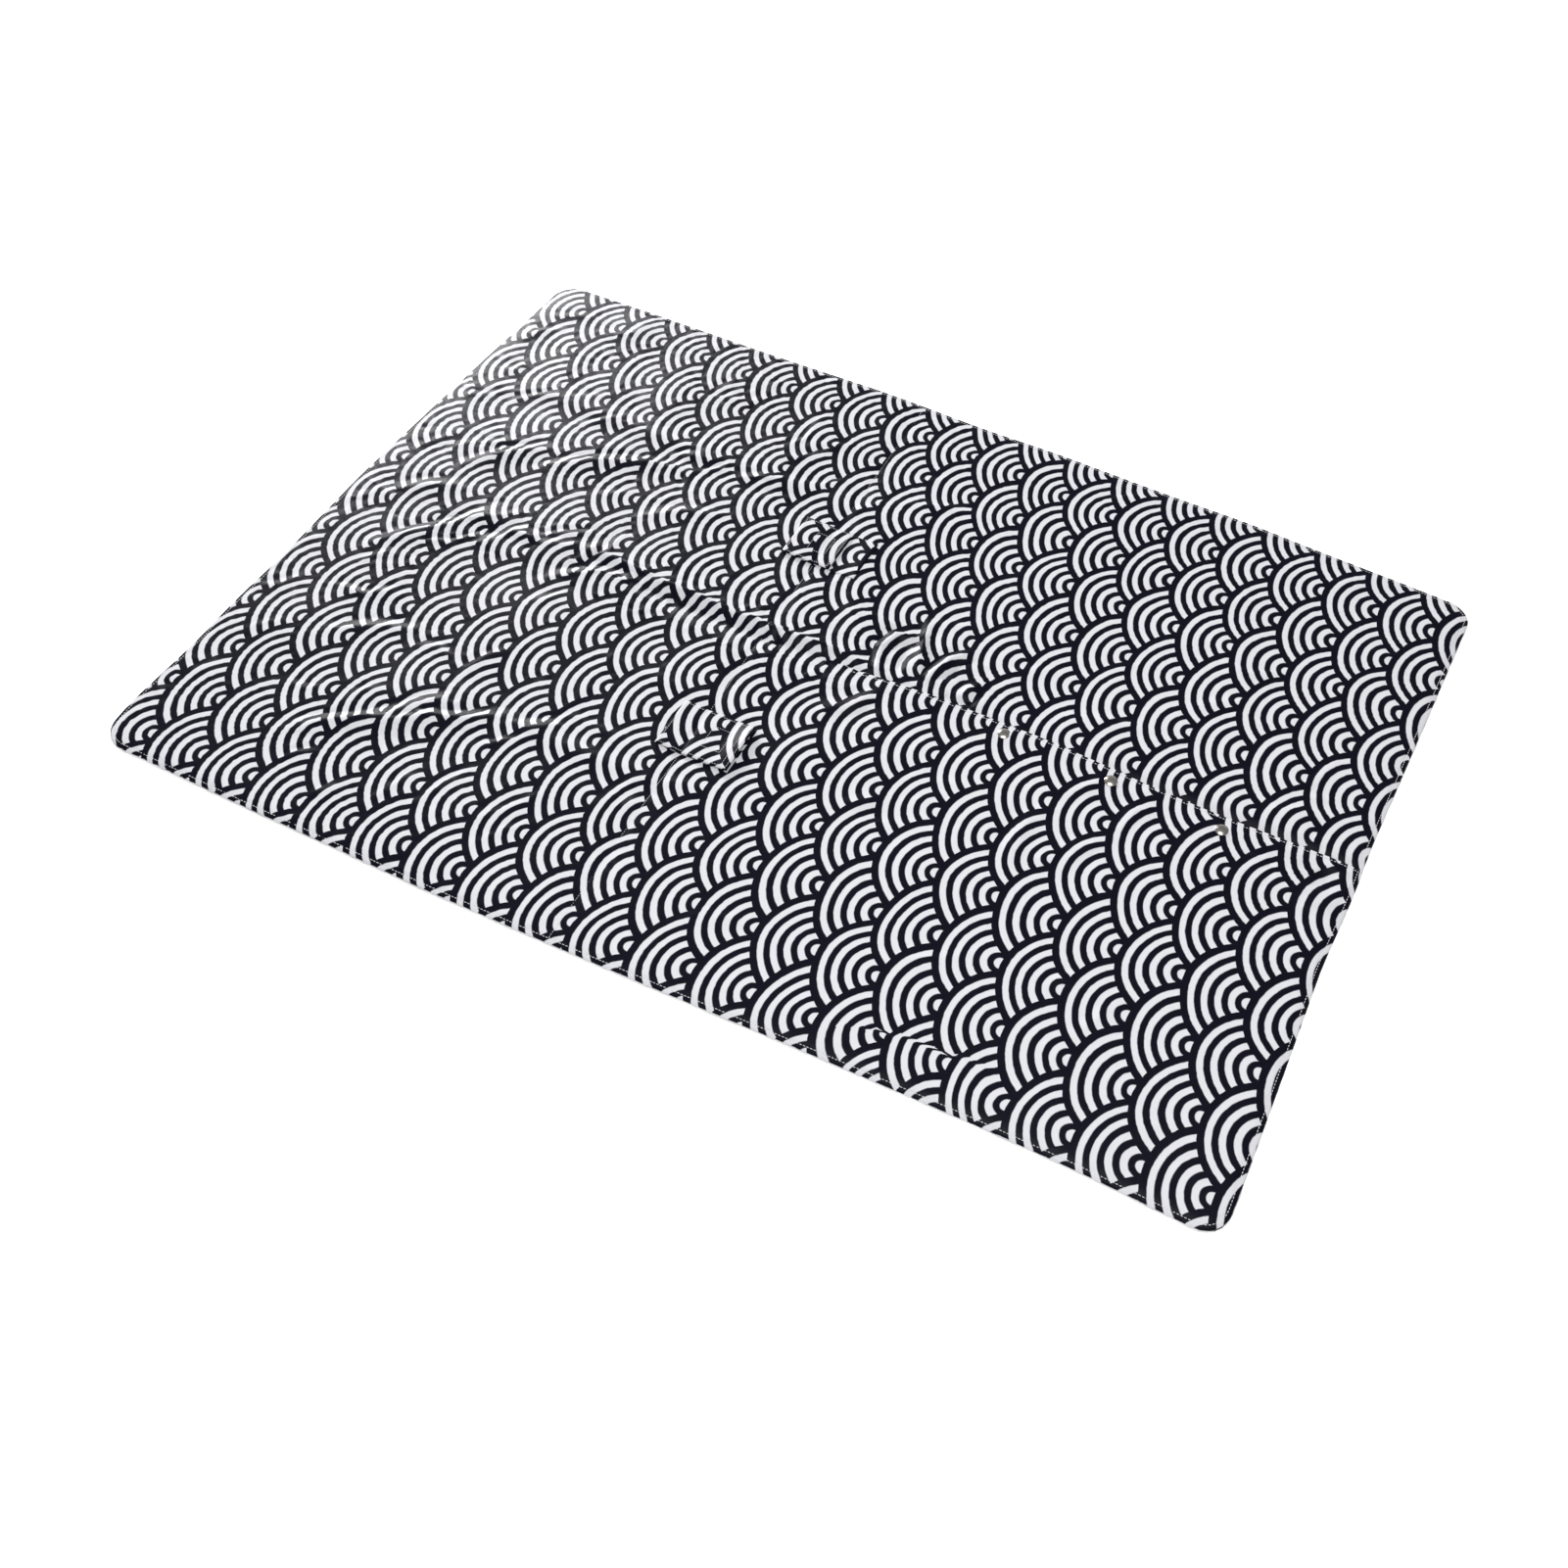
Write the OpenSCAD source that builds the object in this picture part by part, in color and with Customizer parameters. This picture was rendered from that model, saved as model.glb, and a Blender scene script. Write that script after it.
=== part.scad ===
// Wearable padded quilt: a thin wadded blanket with a buttoned neck slit and two hook-and-loop tabs.
// X runs along the length towards the slit's mouth, Y across the width, Z up from the underside.
// The origin is the middle of the outline, on the surface that the quilt lies on. Millimetres.

/* [Outline] */
// Length along the far edge
quilt_l = 1402; // [1200:2:1500]
// Width at the left edge
quilt_w = 984; // [900:2:1050]
// How far the near left corner stands in from the left
near_left_in = 19; // [0:1:25]
// How far the near right corner stands in from the right
near_right_in = 14; // [0:1:25]
// How far the buttoned placket draws the near right corner up the width
near_draw = 29; // [10:1:35]
// How far the far right corner sits below the far left one
far_drop = 5; // [0:1:10]
// Radius of the four outer corners
corner_r = 32; // [20:1:45]

/* [Layers] */
// Thickness of the fleece lining
lining_t = 3; // [2:0.2:3.4]
// Height of the whole quilt
quilt_t = 10; // [9.6:0.2:12]
// Thickness of the printed cotton cover
cover_t = 1.2; // [0.8:0.1:1.4]
// Width of the turned-in seam allowance
hem_w = 12; // [8:1:16]

/* [Neck slit] */
// Y of the slit's free edge
slit_y = 12; // [6:1:16]
// X of the slit's inner end
slit_end_x = 14; // [12:1:20]
// Angle of the line that the lapel folds on
lapel_angle = 18.5; // [16:0.5:20]
// Width of the strip where the two panels overlap
placket_w = 42; // [38:1:46]
// Height of the under strip of the placket
under_t = 4.7; // [4.5:0.1:4.8]
// Room between the lapel's free edge and the far panel
slit_gap = 3; // [3:0.5:4]

/* [Snap fasteners] */
// X of the first snap
snap_x = 245; // [235:1:260]
// Y of the first snap
snap_y = 3; // [0:0.5:4]
// Distance from one snap to the next
snap_pitch = 141.5; // [130:0.5:145]
// How far each snap sits further from the edge than the last
snap_step = 6.75; // [5:0.25:7]
// Radius of the domed cap
cap_r = 8; // [7:0.1:8.4]
// Height of the domed cap
cap_h = 2.4; // [2:0.1:2.8]

/* [Tabs] */
// Length of the near tab
near_tab_l = 97; // [80:1:100]
// Length of the far tab's base
far_tab_l = 105; // [95:1:110]
// Length of the far tab's flap
far_flap_l = 69; // [60:1:80]
// Width of both tabs
tab_w = 71; // [60:1:76]
// Length of a hook or loop patch
patch_l = 25; // [20:1:30]
// Width of a hook or loop patch
patch_w = 32; // [25:1:40]

/* [Folds] */
// Height of the half fold's axis above the cover
half_fold_rise = 11; // [10.5:0.1:13]
// Height of the lapel fold's axis above the cover
lapel_fold_rise = 2; // [1.8:0.1:2.5]

/* [Hidden] */
PANELS = ["back", "front_far", "front_near"];

NAVY = [0.16, 0.17, 0.26];
WHITE = [0.93, 0.93, 0.94];
WADDING = [0.97, 0.96, 0.93];
NICKEL = [0.66, 0.64, 0.62];
HOOK_TAPE = [0.10, 0.10, 0.14];

half_gap = 0.15;            // half of the cut where two bodies meet
arc_steps = 8;              // flats in each rounded corner
thread_in = 5;              // edge of the cloth to the topstitching
thread_w = 0.8;
thread_t = 0.3;
open_side = -1;             // inset that leaves a side without a wall
cover_z = quilt_t - cover_t;
half_l = quilt_l / 2;
half_w = quilt_w / 2;

// Outline corners, in order round the quilt
far_left = [-half_l, half_w];
near_left = [-half_l + near_left_in, -half_w];
near_right = [half_l - near_right_in, -half_w + near_draw];
far_right = [half_l, half_w - far_drop];

// A point on the line through p and q at a given x or y
function at_x(p, q, x) = [x, p.y + (q.y - p.y) * (x - p.x) / (q.x - p.x)];
function at_y(p, q, y) = [p.x + (q.x - p.x) * (y - p.y) / (q.y - p.y), y];
function near_edge(x) = at_x(near_left, near_right, x);
function far_edge(x) = at_x(far_left, far_right, x);
function right_edge(y) = at_y(near_right, far_right, y);

// Where two lines meet, each given by a point and a direction
function meet(p, u, q, v) = p + u * cross(q - p, v) / cross(u, v);
function turned(u) = [-u.y, u.x];
function unit(u) = u / norm(u);

// A counter-clockwise outline with side i moved inwards by d[i]
function inset(pts, d) = [
    for (i = [0:len(pts) - 1])
        let (n = len(pts), h = (i + n - 1) % n,
             u = unit(pts[i] - pts[h]), v = unit(pts[(i + 1) % n] - pts[i]))
        meet(pts[i] + turned(u) * d[h], u, pts[i] + turned(v) * d[i], v)
];

// The same outline with corner i rounded to radius r[i]
function rounded(pts, r) = [
    for (i = [0:len(pts) - 1])
        let (n = len(pts), u = unit(pts[(i + n - 1) % n] - pts[i]), v = unit(pts[(i + 1) % n] - pts[i]),
             half = acos(u * v) / 2, middle = pts[i] + unit(u + v) * r[i] / sin(half),
             first = atan2(turned(u).y, turned(u).x), step = (180 - 2 * half) / arc_steps)
        for (k = [0:r[i] > 0 ? arc_steps : 0])
            r[i] > 0 ? middle + r[i] * [cos(first + k * step), sin(first + k * step)] : pts[i]
];

// Panels: [corners, corner radii, 1 for each side that is sewn and 0 for each that runs on]
BACK = [
    [near_edge(-half_gap), far_edge(-half_gap), far_left, near_left],
    [0, 0, corner_r, corner_r],
    [0, 1, 1, 1]
];
slit_start = [slit_end_x, slit_y];
fold_dir = [cos(lapel_angle), -sin(lapel_angle)];
fold_out = turned(fold_dir);
fold_end = meet(slit_start, fold_dir, near_right, far_right - near_right);
FRONT_FAR = [
    [[half_gap, slit_y + slit_gap], right_edge(slit_y + slit_gap), far_right, far_edge(half_gap)],
    [0, 6, corner_r, 0],
    [1, 1, 1, 0]
];
FRONT_NEAR = [
    [near_edge(half_gap), near_right, meet(slit_start - fold_out * half_gap, fold_dir,
        near_right, far_right - near_right), slit_start - fold_out * half_gap, [half_gap, slit_y]],
    [0, corner_r, 0, 0, 0],
    [1, 1, 0, 0, 0]
];
lapel_apex = slit_start + fold_dir * 24;   // the apex is blunt so that it clears the far panel
LAPEL = [
    [lapel_apex + fold_out * half_gap, meet(slit_start + fold_out * half_gap, fold_dir,
        near_right, far_right - near_right), right_edge(slit_y), [lapel_apex.x, slit_y]],
    [0, 0, 8, 0],
    [0, 1, 1, 0]
];
strip_y = slit_y - placket_w;              // lower edge of the under strip
body_y = strip_y - 10;                     // upper edge of the lapel's full thickness
LAPEL_BODY = [
    [meet(slit_start + fold_out * half_gap, fold_dir, [0, body_y], [1, 0]), LAPEL[0][1],
        right_edge(body_y)],
    [0, 0, 0],
    [0, 1, 1]
];
UNDER = [
    [slit_start, meet(slit_start, fold_dir, [0, strip_y], [1, 0]) + [0.5, 0], right_edge(strip_y),
        right_edge(slit_y + slit_gap), [slit_end_x, slit_y + slit_gap]],
    [0, 0, 0, 0, 0],
    [0, 0, 1, 0, 0]
];
function panel(name) = name == "back" ? BACK : name == "front_far" ? FRONT_FAR : FRONT_NEAR;

// One layer of a panel from z0 to z1, d in from its sewn sides
module layer(p, d, z0, z1, beyond = 0) {
    sides = [for (s = p[2]) s * d + (1 - s) * beyond];
    radii = [for (r = p[1]) r > 0 ? max(r - d, 0.5) : 0];
    translate([0, 0, z0]) linear_extrude(z1 - z0) polygon(rounded(inset(p[0], sides), radii));
}

// A band along the sewn sides only, from d0 to d1 in from the edge
module band(p, d0, d1, z0, z1)
    difference() {
        layer(p, d0, z0, z1);
        layer(p, d1, z0 - 1, z1 + 1, open_side);
    }

// The cover of a panel: a sheet on top with its edges turned down
module cover(p, z0)
    color(NAVY) difference() {
        layer(p, 0, z0, quilt_t);
        layer(p, cover_t, z0 - 1, cover_z, open_side);
    }

module batting(p) color(WADDING) layer(p, cover_t + hem_w, lining_t, cover_z);
module hem(p) color(NAVY) band(p, cover_t, cover_t + hem_w, lining_t, cover_z);
module lining(p) color(WHITE) layer(p, 0, 0, lining_t);
module edge_stitching(p) color(WHITE) band(p, thread_in, thread_in + thread_w, quilt_t, quilt_t + thread_t);

// The quilting seam that crosses all the layers, broken where the two tabs cover it
seam_near_x = -74;
seam_far_x = -99;
function seam_x(y) = seam_near_x + (seam_far_x - seam_near_x) * (y + half_w) / quilt_w;
module seam_stitching() {
    end_in = thread_in + 3;
    tab_out = tab_w / 2 + 1;
    stops = [near_edge(seam_near_x).y + end_in, near_tab_y - tab_out, near_tab_y + tab_out,
        far_tab_y - tab_out, far_tab_y + tab_out, far_edge(seam_far_x).y - end_in];
    color(WHITE) translate([0, 0, quilt_t]) linear_extrude(thread_t)
        for (i = [0:2:4], a = stops[i], b = stops[i + 1])
            polygon([[seam_x(a), a], [seam_x(a) + thread_w, a], [seam_x(b) + thread_w, b], [seam_x(b), b]]);
}

// Snap fasteners
snap_count = 3;
rim_h = 0.5;                // height of the cap's upright rim
stem_r = 1.9;
stem_hole_r = 2.2;
socket_r = 6.5;
socket_hole_r = 6.8;
socket_z = 5.2;             // underside of the lapel's strip
socket_h = 2.6;
mouth_r = 3.3;
mouth_h = 2;
stud_r = 2.6;
stud_h = 2.2;
flange_t = 0.8;
post_r = 6;
post_z = 0.1;
rivet_top = 5.4;
function snap_at(i) = [snap_x + (i - 1) * snap_pitch, snap_y - (i - 1) * snap_step, 0];
module at_snaps() for (i = [1:snap_count]) translate(snap_at(i)) children();
module disc(r, z0, z1) translate([0, 0, z0]) cylinder(r = r, h = z1 - z0, $fn = 48);

module snap_cap(i)
    color(NICKEL) translate(snap_at(i)) {
        translate([0, 0, quilt_t]) rotate_extrude($fn = 48)
            polygon([[0, 0], [cap_r, 0],
                for (a = [0:15:75]) [cap_r * cos(a), rim_h + (cap_h - rim_h) * sin(a)], [0, cap_h]]);
        disc(stem_r, socket_z + mouth_h + 0.1, quilt_t);
    }

module snap_socket(i)
    color(NICKEL) translate(snap_at(i)) difference() {
        disc(socket_r, socket_z, socket_z + socket_h);
        disc(mouth_r, socket_z - 1, socket_z + mouth_h);
        disc(stem_r + 0.1, socket_z, socket_z + socket_h + 1);
    }

module snap_stud(i)
    color(NICKEL) translate(snap_at(i)) difference() {
        union() {
            disc(socket_r, under_t - flange_t, under_t);
            disc(stud_r, under_t, under_t + stud_h);
        }
        disc(stem_r + 0.1, under_t - flange_t - 1, rivet_top + 0.2);
    }

module snap_post(i)
    color(NICKEL) translate(snap_at(i)) {
        disc(post_r, post_z, post_z + flange_t);
        disc(stem_r, post_z + flange_t, rivet_top);
    }

// Lapel: the corner of the near panel between the slit and the fold line
module cover_lapel()
    difference() {
        cover(LAPEL, socket_z);
        at_snaps() disc(stem_hole_r, cover_z - 1, quilt_t + 1);
    }

facing_top = 6.4;
facing_in = cover_t + 0.2;
module placket_facing()
    color(NAVY) difference() {
        layer([[LAPEL[0][0], LAPEL_BODY[0][0], LAPEL_BODY[0][2], LAPEL[0][2], LAPEL[0][3]],
            [0, 0, 0, 6, 0], [0, 0, 1, 1, 0]], facing_in, socket_z, facing_top);
        at_snaps() disc(socket_hole_r, socket_z - 1, facing_top + 1);
    }

module batting_lapel()
    color(WADDING) difference() {
        union() {
            layer(LAPEL, cover_t, facing_top, cover_z);
            layer(LAPEL_BODY, cover_t, lining_t, facing_top);
        }
        at_snaps() disc(socket_hole_r, facing_top - 1, cover_z + 1);
    }

module lining_lapel() color(WHITE) layer(LAPEL_BODY, 0, 0, lining_t);
module edge_stitching_lapel()
    color(WHITE) difference() {
        band(LAPEL, thread_in, thread_in + thread_w, quilt_t, quilt_t + thread_t);
        at_snaps() disc(cap_r + 0.3, quilt_t - 1, quilt_t + 1);
    }

// Under strip of the placket, which carries the studs
under_lining_t = 2;
module under_placket_lining()
    color(WHITE) difference() {
        layer(UNDER, 0, 0, under_lining_t);
        at_snaps() {
            disc(post_r + 0.3, -1, post_z + flange_t);
            disc(stem_hole_r, -1, under_t);
        }
    }
module under_placket_cover()
    color(NAVY) difference() {
        layer(UNDER, 0, under_lining_t, under_t);
        at_snaps() {
            disc(socket_hole_r, under_t - flange_t, under_t + 1);
            disc(stem_hole_r, 0, under_t);
        }
    }

// Tabs: a base sewn to the cover with a loop patch, and a flap over it with a hook patch
near_tab_x = -115;          // left end, where the flap hinges
near_tab_y = -162;
near_patch_x = 51;          // left end of the patch from the tab's left end
far_tab_x = -137;
far_tab_y = 180.5;
far_patch_x = 27;
base_t = 0.8;
loop_t = 0.6;
hook_z = quilt_t + base_t + loop_t + 0.2;
hook_t = 0.6;
flap_z = hook_z + hook_t;
flap_t = 1;
tab_r = 3;

module tab_plate(x, y, l, w, z0, z1, r)
    translate([0, 0, z0]) linear_extrude(z1 - z0)
        polygon(rounded([[x, y - w / 2], [x + l, y - w / 2], [x + l, y + w / 2], [x, y + w / 2]],
            [0, r, r, 0]));
module tab_base(x, y, l)
    color(NAVY) tab_plate(x + half_gap, y, l - half_gap, tab_w, quilt_t, quilt_t + base_t, tab_r);
module tab_loop(x, y)
    color(WHITE) tab_plate(x, y, patch_l, patch_w, quilt_t + base_t, quilt_t + base_t + loop_t, 1);
module tab_hook(x, y)
    color(HOOK_TAPE) tab_plate(x, y, patch_l, patch_w, hook_z, flap_z, 1);
module tab_flap(x, y, l)
    color(NAVY) tab_plate(x + half_gap, y, l - half_gap, tab_w, flap_z, flap_z + flap_t, tab_r);
module tab_stitching(x, y, l, patch)
    color(WHITE) for (edge = [[x + 3, l - 6, tab_w - 6], [patch, patch_l, patch_w]])
        difference() {
            tab_plate(edge[0], y, edge[1], edge[2], flap_z + flap_t, flap_z + flap_t + thread_t, 1);
            tab_plate(edge[0] + thread_w, y, edge[1] - 2 * thread_w, edge[2] - 2 * thread_w,
                flap_z, flap_z + 2 * flap_t, 0.5);
        }

for (name = PANELS) {
    cover(panel(name), lining_t);
    batting(panel(name));
    hem(panel(name));
    lining(panel(name));
    edge_stitching(panel(name));
}
seam_stitching();
under_placket_cover();
under_placket_lining();
cover_lapel();
batting_lapel();
lining_lapel();
placket_facing();
edge_stitching_lapel();
for (i = [1:snap_count]) {
    snap_cap(i);
    snap_socket(i);
    snap_stud(i);
    snap_post(i);
}
tab_base(near_tab_x, near_tab_y, near_tab_l);  // near_tab_base
tab_loop(near_tab_x + near_patch_x, near_tab_y);  // near_tab_loop
tab_hook(near_tab_x + near_patch_x, near_tab_y);  // near_tab_hook
tab_flap(near_tab_x, near_tab_y, near_tab_l);  // near_tab_flap
tab_stitching(near_tab_x, near_tab_y, near_tab_l, near_tab_x + near_patch_x);  // near_tab_stitching
tab_base(far_tab_x, far_tab_y, far_tab_l);  // far_tab_base
tab_loop(far_tab_x + far_patch_x, far_tab_y);  // far_tab_loop
tab_hook(far_tab_x + far_patch_x, far_tab_y);  // far_tab_hook
tab_flap(far_tab_x, far_tab_y, far_flap_l);  // far_tab_flap
tab_stitching(far_tab_x, far_tab_y, far_flap_l, far_tab_x + far_patch_x);  // far_tab_stitching
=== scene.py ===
"""A thin wadded quilt with a printed cover, lying flat. Lengths are in millimetres until a mesh is made."""

import math

import bmesh
import bpy
import numpy as np
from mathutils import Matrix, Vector


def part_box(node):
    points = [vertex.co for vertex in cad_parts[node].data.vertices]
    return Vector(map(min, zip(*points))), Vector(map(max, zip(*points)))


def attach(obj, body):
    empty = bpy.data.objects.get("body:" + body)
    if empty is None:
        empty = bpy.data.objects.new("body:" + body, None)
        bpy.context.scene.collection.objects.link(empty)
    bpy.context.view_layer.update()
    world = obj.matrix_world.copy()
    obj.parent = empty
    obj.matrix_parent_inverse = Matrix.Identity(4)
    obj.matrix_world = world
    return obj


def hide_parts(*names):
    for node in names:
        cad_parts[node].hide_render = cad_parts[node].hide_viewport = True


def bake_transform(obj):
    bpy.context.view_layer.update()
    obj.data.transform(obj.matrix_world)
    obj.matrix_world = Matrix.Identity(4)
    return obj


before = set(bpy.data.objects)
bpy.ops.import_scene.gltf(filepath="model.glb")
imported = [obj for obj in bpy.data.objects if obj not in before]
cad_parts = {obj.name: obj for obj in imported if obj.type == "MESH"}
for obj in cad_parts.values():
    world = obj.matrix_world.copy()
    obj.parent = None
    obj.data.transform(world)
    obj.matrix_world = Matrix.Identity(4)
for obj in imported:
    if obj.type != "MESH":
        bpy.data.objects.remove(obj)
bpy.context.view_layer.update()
MM = 0.001


def node_box(name):
    """A CAD node's lowest and highest corners, in millimetres."""
    low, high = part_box(name)
    return np.array(low) / MM, np.array(high) / MM


# ---- dimensions

HALF_L, HALF_W = 701.0, 492.0       # half of the outline's length and width
NEAR_LEFT_IN = 19.0                 # how far each corner stands in, as on the CAD outline
NEAR_RIGHT_IN = 14.0
NEAR_DRAW = 29.0                    # the near right corner, along the width
FAR_DROP = 5.0                      # the far right corner, along the width
CORNER_R = 32.0
CORNERS = {
    "near_left": np.array([-HALF_L + NEAR_LEFT_IN, -HALF_W]),
    "near_right": np.array([HALF_L - NEAR_RIGHT_IN, -HALF_W + NEAR_DRAW]),
    "far_right": np.array([HALF_L, HALF_W - FAR_DROP]),
    "far_left": np.array([-HALF_L, HALF_W]),
}
SLIT_Y = 12.0                       # the slit's free edge
SLIT_END_X = 14.0                   # the slit's inner end
APEX_X = 28.0                       # where the lapel parts from the rest
STRIP_Y = -30.0                     # lower edge of the strip under the lapel
FOLD_ANGLE = math.radians(18.5)     # the lapel's fold line, from the slit's inner end
FOLD_OUT = np.array([math.sin(FOLD_ANGLE), math.cos(FOLD_ANGLE)])
SLIT_END = np.array([SLIT_END_X, SLIT_Y])
TOP = 9.8                           # usual height of the cover
LIP_Z = 6.0                         # where the cover's turned-down edge meets the lining
SCALE_R = 72.0                      # radius of the print's largest circle
SEAM_NEAR_X, SEAM_FAR_X = -74.0, -99.0
PARTING = 60.0                      # over this length the slit's two sides part
UNDER_LAP_Z = 4.4                   # the far panel's height under the lapel


def smooth(t):
    t = np.clip(t, 0, 1)
    return t * t * (3 - 2 * t)


def bump(u, width):
    return np.exp(-(u / width) ** 2)


def rise_and_fall(share, stretch, start):
    """0 near both ends of a line and 1 in its middle."""
    return np.sin(np.pi * np.clip(share * stretch + start, 0, 1))


# ---- outline

SIDES = [
    ("near_left", "near_right"),
    ("near_right", "far_right"),
    ("far_right", "far_left"),
    ("far_left", "near_left"),
]


def side_line(i):
    """A side's first corner and its inward normal."""
    a, b = (CORNERS[k] for k in SIDES[i])
    along = (b - a) / np.linalg.norm(b - a)
    return a, np.array([-along[1], along[0]])


def inset_corner(i, d):
    """Where side i - 1 and side i meet when both are moved in by d."""
    (a, n), (b, m) = side_line(i - 1), side_line(i)
    return np.linalg.solve(np.array([n, m]), np.array([a @ n + d, b @ m + d]))


def edge_distance(p):
    """How far each point is inside the rounded outline, and the outline's outward direction there."""
    inward = np.array([side_line(i)[1] for i in range(4)])
    depth = np.stack([(p - side_line(i)[0]) @ side_line(i)[1] for i in range(4)], axis=1)
    nearest = depth.argmin(axis=1)
    d, out = depth.min(axis=1), -inward[nearest]
    for i in range(4):
        centre = inset_corner(i, CORNER_R)
        corner = (depth[:, i - 1] < CORNER_R) & (depth[:, i] < CORNER_R)
        away = p[corner] - centre
        far = np.linalg.norm(away, axis=1)
        d[corner] = CORNER_R - far
        out[corner] = away / np.maximum(far, 1e-6)[:, None]
    return d, out


def outline(d, step):
    """The rounded outline moved in by d, as a closed line of points about a step apart."""
    points = []
    for i in range(4):
        centre, r = inset_corner(i, CORNER_R), CORNER_R - d
        n0, n1 = -side_line(i - 1)[1], -side_line(i)[1]
        a0, a1 = math.atan2(n0[1], n0[0]), math.atan2(n1[1], n1[0])
        a1 += 2 * math.pi if a1 < a0 else 0
        count = max(3, int((a1 - a0) * r / step))
        points += [centre + r * np.array([math.cos(a), math.sin(a)]) for a in np.linspace(a0, a1, count)]
    return evenly(np.array(points + points[:1]), step)


def evenly(line, step):
    """A line of points redrawn with its points about a step apart."""
    along = np.concatenate([[0], np.cumsum(np.linalg.norm(np.diff(line, axis=0), axis=1))])
    at = np.linspace(0, along[-1], int(along[-1] / step) + 1)
    return np.stack([np.interp(at, along, line[:, k]) for k in range(line.shape[1])], axis=1)


# How far the laid cloth's border stands in from the straight outline, along each side from its first corner
WANDER = {
    "near": [
        (0, 13), (90, 10), (200, 6), (330, 3.5), (450, 0),
        (650, -0.5), (900, 2), (1100, 2.5), (1230, 0), (1369, -8),
    ],
    "right": [
        (0, -7), (60, -5), (200, -1), (330, 3.5), (440, 0.5),
        (500, 2.5), (650, -0.5), (800, -3), (950, -5),
    ],
    "far": [
        (0, 12), (90, 7), (230, 2), (310, -3), (430, -2), (600, -5.5),
        (700, -2.5), (860, -6), (1050, 0), (1260, 2), (1402, 6),
    ],
    "left": [
        (0, 8), (100, 5), (200, 1), (350, -3), (480, -6),
        (640, -1), (730, -3), (820, 0), (920, -3.5), (984, 3),
    ],
}
WANDER_REACH = 90.0                 # how far into the cloth that goes


def wander(p):
    """The laid cloth's points, moved so that its border follows WANDER."""
    moved = p.copy()
    for i, knots in enumerate(WANDER.values()):
        start, inward = side_line(i)
        along = (p - start) @ np.array([inward[1], -inward[0]])
        depth = (p - start) @ inward
        at, much = np.array(knots, float).T
        fine = np.linspace(at[0], at[-1], 200)
        soft = np.convolve(np.pad(np.interp(fine, at, much), 6, "edge"), np.ones(13) / 13, "valid")
        moved += inward * (np.interp(along, fine, soft) * (1 - smooth(depth / WANDER_REACH)))[:, None]
    return moved


# ---- cloth heights

# Soft wrinkles: the points each runs through, its height and its half width
WRINKLES = [
    ([(60, 6), (-90, 5), (-240, 8), (-340, 14)], -1.8, 12),
    ([(120, -24), (0, -30), (-140, -28), (-300, -20)], 1.4, 24),
    ([(-600, 268), (-400, 262), (-200, 262), (0, 262)], 2.2, 14),
    ([(-540, 2), (-430, 4), (-380, 30)], -1.6, 10),
    ([(-680, -290), (-668, -350)], 2.4, 12),
    ([(-275, -246), (-180, -250), (-90, -244)], 1.8, 12),
    ([(640, -24), (690, -18)], -3.0, 14),
    ([(590, -34), (650, -50), (695, -52)], 2.0, 16),
    ([(230, -60), (300, -84), (420, -92)], 1.4, 18),
    ([(30, -70), (60, -40)], 2.2, 12),
    ([(64, 23), (53, 60), (59, 85), (87, 97)], 4.4, 5.8),
    ([(85, 24), (84, 58), (76, 82)], -2.6, 6),
    ([(88, 124), (97, 90), (108, 46)], 4.8, 5.8),
    ([(122, 32), (138, 80), (156, 104)], 4.6, 5.8),
    ([(118, 34), (140, 26), (163, 22), (190, 26)], -2.6, 6),
    ([(172, 28), (188, 64)], 2.6, 7),
    ([(54, -56), (84, -8)], 2.6, 7),
    ([(328, -170), (321, -138), (322, -101), (343, -75)], 1.9, 9),
    ([(421, -72), (426, -33), (445, -12)], 1.9, 9),
    ([(381, -143), (390, -108), (412, -81)], 1.5, 9),
    ([(123, -177), (141, -163), (160, -150)], 1.6, 9),
    ([(20, 60), (-30, 150), (-40, 230)], 1.6, 16),
    ([(300, 240), (420, 250), (540, 236)], 1.2, 22),
    ([(-150, 420), (-20, 410), (100, 416)], 1.4, 20),
]

# Creases: the points each runs through from left to right, and its height
CREASES = [
    ([(-586, 96), (-554, 135), (-506, 170)], 3.2),
    ([(-488, 144), (-439, 181), (-387, 206), (-322, 222)], 4.0),
    ([(-604, -82), (-566, -43), (-532, -4), (-504, 38)], 3.2),
    ([(-452, 20), (-418, 13), (-370, 35)], 2.6),
    ([(-372, -28), (-327, 5), (-293, 9), (-220, 27)], 3.0),
    ([(-498, -365), (-456, -336), (-415, -311), (-391, -278), (-363, -245)], 3.4),
    ([(-411, -321), (-369, -284), (-326, -265), (-296, -243)], 3.4),
    ([(-265, -254), (-235, -232)], 2.0),
    ([(-640, 6), (-607, 38), (-570, 54)], 2.2),
    ([(-487, -24), (-457, 15), (-424, 19)], 2.4),
    ([(-330, 120), (-290, 150), (-230, 168)], 2.2),
    ([(-262, 236), (-210, 262), (-150, 276)], 2.2),
    ([(-40, 300), (20, 322), (80, 330)], 1.8),
    ([(-560, -230), (-510, -196), (-462, -178)], 1.8),
    ([(560, 40), (612, 62), (655, 70)], 1.6),
    ([(300, 60), (352, 82), (410, 90)], 1.4),
]
SMALL_CREASES = 120


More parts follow.
